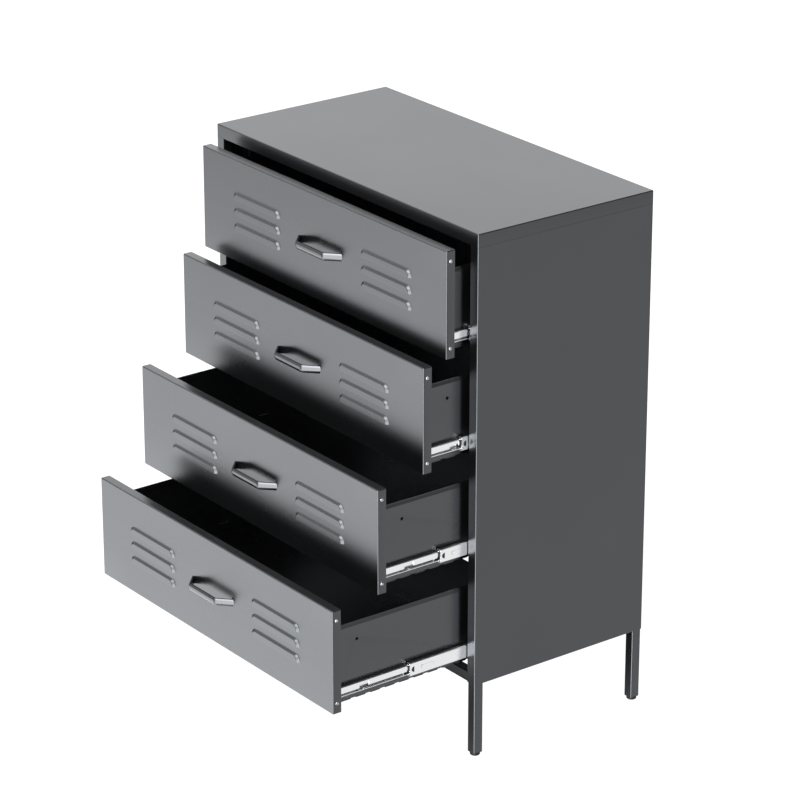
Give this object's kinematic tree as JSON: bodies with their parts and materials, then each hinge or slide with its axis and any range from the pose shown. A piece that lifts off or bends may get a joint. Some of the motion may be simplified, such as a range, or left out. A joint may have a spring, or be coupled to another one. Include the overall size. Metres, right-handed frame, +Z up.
{
  "type": "metal drawer cabinet",
  "caption": "Sheet-steel drawer cabinet on square tube legs, with louvred fronts, bent bar handles and ball slides, drawers standing open one further than the next.",
  "frame": {"origin": "middle of the floor rectangle that the cabinet and its open drawers take up", "axes": "+X to the right seen from the front, +Y to the back, +Z up; the drawers open towards -Y"},
  "size_m": [0.8, 0.7254, 1.016],
  "materials": {
    "cabinet_paint": "satin powder coat",
    "drawer_paint": "satin powder coat",
    "handle_paint": "semi-gloss powder coat",
    "slide_zinc": "bright zinc plate",
    "foot_plastic": "moulded"
  },
  "bodies": {
    "cabinet": {"top_cover": "cabinet_paint", "left_side_panel": "cabinet_paint", "right_side_panel": "cabinet_paint", "back_panel": "cabinet_paint", "front_bottom_rail": "cabinet_paint", "rear_bottom_rail": "cabinet_paint", "leg_front_left": "cabinet_paint", "leg_front_right": "cabinet_paint", "leg_rear_left": "cabinet_paint", "leg_rear_right": "cabinet_paint", "drawer_1_slide_outer_left": "slide_zinc", "drawer_1_slide_outer_right": "slide_zinc", "drawer_2_slide_outer_left": "slide_zinc", "drawer_2_slide_outer_right": "slide_zinc", "drawer_3_slide_outer_left": "slide_zinc", "drawer_3_slide_outer_right": "slide_zinc", "drawer_4_slide_outer_left": "slide_zinc", "drawer_4_slide_outer_right": "slide_zinc"},
    "foot_front_left": {"foot_front_left": "foot_plastic"},
    "foot_front_right": {"foot_front_right": "foot_plastic"},
    "foot_rear_left": {"foot_rear_left": "foot_plastic"},
    "foot_rear_right": {"foot_rear_right": "foot_plastic"},
    "drawer_1": {"drawer_1_front": "drawer_paint", "drawer_1_handle": "handle_paint", "drawer_1_bottom_and_back": "drawer_paint", "drawer_1_box_left": "drawer_paint", "drawer_1_box_right": "drawer_paint", "drawer_1_slide_inner_left": "slide_zinc", "drawer_1_slide_inner_right": "slide_zinc"},
    "drawer_1_slide_middle_left": {"drawer_1_slide_middle_left": "slide_zinc"},
    "drawer_1_slide_middle_right": {"drawer_1_slide_middle_right": "slide_zinc"},
    "drawer_2": {"drawer_2_front": "drawer_paint", "drawer_2_handle": "handle_paint", "drawer_2_bottom_and_back": "drawer_paint", "drawer_2_box_left": "drawer_paint", "drawer_2_box_right": "drawer_paint", "drawer_2_slide_inner_left": "slide_zinc", "drawer_2_slide_inner_right": "slide_zinc"},
    "drawer_2_slide_middle_left": {"drawer_2_slide_middle_left": "slide_zinc"},
    "drawer_2_slide_middle_right": {"drawer_2_slide_middle_right": "slide_zinc"},
    "drawer_3": {"drawer_3_front": "drawer_paint", "drawer_3_handle": "handle_paint", "drawer_3_bottom_and_back": "drawer_paint", "drawer_3_box_left": "drawer_paint", "drawer_3_box_right": "drawer_paint", "drawer_3_slide_inner_left": "slide_zinc", "drawer_3_slide_inner_right": "slide_zinc"},
    "drawer_3_slide_middle_left": {"drawer_3_slide_middle_left": "slide_zinc"},
    "drawer_3_slide_middle_right": {"drawer_3_slide_middle_right": "slide_zinc"},
    "drawer_4": {"drawer_4_front": "drawer_paint", "drawer_4_handle": "handle_paint", "drawer_4_bottom_and_back": "drawer_paint", "drawer_4_box_left": "drawer_paint", "drawer_4_box_right": "drawer_paint", "drawer_4_slide_inner_left": "slide_zinc", "drawer_4_slide_inner_right": "slide_zinc"},
    "drawer_4_slide_middle_left": {"drawer_4_slide_middle_left": "slide_zinc"},
    "drawer_4_slide_middle_right": {"drawer_4_slide_middle_right": "slide_zinc"}
  },
  "joints": [
    {"name": "level_front_left", "type": "slide", "parent": "cabinet", "child": "foot_front_left", "axis": [0, 0, -1], "range_m": [0, 0.008]},
    {"name": "level_front_right", "type": "slide", "parent": "cabinet", "child": "foot_front_right", "axis": [0, 0, -1], "range_m": [0, 0.008]},
    {"name": "level_rear_left", "type": "slide", "parent": "cabinet", "child": "foot_rear_left", "axis": [0, 0, -1], "range_m": [0, 0.008]},
    {"name": "level_rear_right", "type": "slide", "parent": "cabinet", "child": "foot_rear_right", "axis": [0, 0, -1], "range_m": [0, 0.008]},
    {"name": "drawer_1_slide", "type": "slide", "parent": "cabinet", "child": "drawer_1", "axis": [0, -1, 0], "range_m": [-0.05, 0.3]},
    {"name": "drawer_1_middle_left", "type": "slide", "parent": "cabinet", "child": "drawer_1_slide_middle_left", "axis": [0, -1, 0], "range_m": [-0.025, 0.15]},
    {"name": "drawer_1_middle_right", "type": "slide", "parent": "cabinet", "child": "drawer_1_slide_middle_right", "axis": [0, -1, 0], "range_m": [-0.025, 0.15]},
    {"name": "drawer_2_slide", "type": "slide", "parent": "cabinet", "child": "drawer_2", "axis": [0, -1, 0], "range_m": [-0.1, 0.25]},
    {"name": "drawer_2_middle_left", "type": "slide", "parent": "cabinet", "child": "drawer_2_slide_middle_left", "axis": [0, -1, 0], "range_m": [-0.05, 0.125]},
    {"name": "drawer_2_middle_right", "type": "slide", "parent": "cabinet", "child": "drawer_2_slide_middle_right", "axis": [0, -1, 0], "range_m": [-0.05, 0.125]},
    {"name": "drawer_3_slide", "type": "slide", "parent": "cabinet", "child": "drawer_3", "axis": [0, -1, 0], "range_m": [-0.2, 0.15]},
    {"name": "drawer_3_middle_left", "type": "slide", "parent": "cabinet", "child": "drawer_3_slide_middle_left", "axis": [0, -1, 0], "range_m": [-0.1, 0.075]},
    {"name": "drawer_3_middle_right", "type": "slide", "parent": "cabinet", "child": "drawer_3_slide_middle_right", "axis": [0, -1, 0], "range_m": [-0.1, 0.075]},
    {"name": "drawer_4_slide", "type": "slide", "parent": "cabinet", "child": "drawer_4", "axis": [0, -1, 0], "range_m": [-0.3, 0.05]},
    {"name": "drawer_4_middle_left", "type": "slide", "parent": "cabinet", "child": "drawer_4_slide_middle_left", "axis": [0, -1, 0], "range_m": [-0.15, 0.025]},
    {"name": "drawer_4_middle_right", "type": "slide", "parent": "cabinet", "child": "drawer_4_slide_middle_right", "axis": [0, -1, 0], "range_m": [-0.15, 0.025]}
  ],
  "couplings": [
    {"joint": "drawer_1_middle_left", "follows": "drawer_1_slide", "ratio": 0.5},
    {"joint": "drawer_1_middle_right", "follows": "drawer_1_slide", "ratio": 0.5},
    {"joint": "drawer_2_middle_left", "follows": "drawer_2_slide", "ratio": 0.5},
    {"joint": "drawer_2_middle_right", "follows": "drawer_2_slide", "ratio": 0.5},
    {"joint": "drawer_3_middle_left", "follows": "drawer_3_slide", "ratio": 0.5},
    {"joint": "drawer_3_middle_right", "follows": "drawer_3_slide", "ratio": 0.5},
    {"joint": "drawer_4_middle_left", "follows": "drawer_4_slide", "ratio": 0.5},
    {"joint": "drawer_4_middle_right", "follows": "drawer_4_slide", "ratio": 0.5}
  ]
}
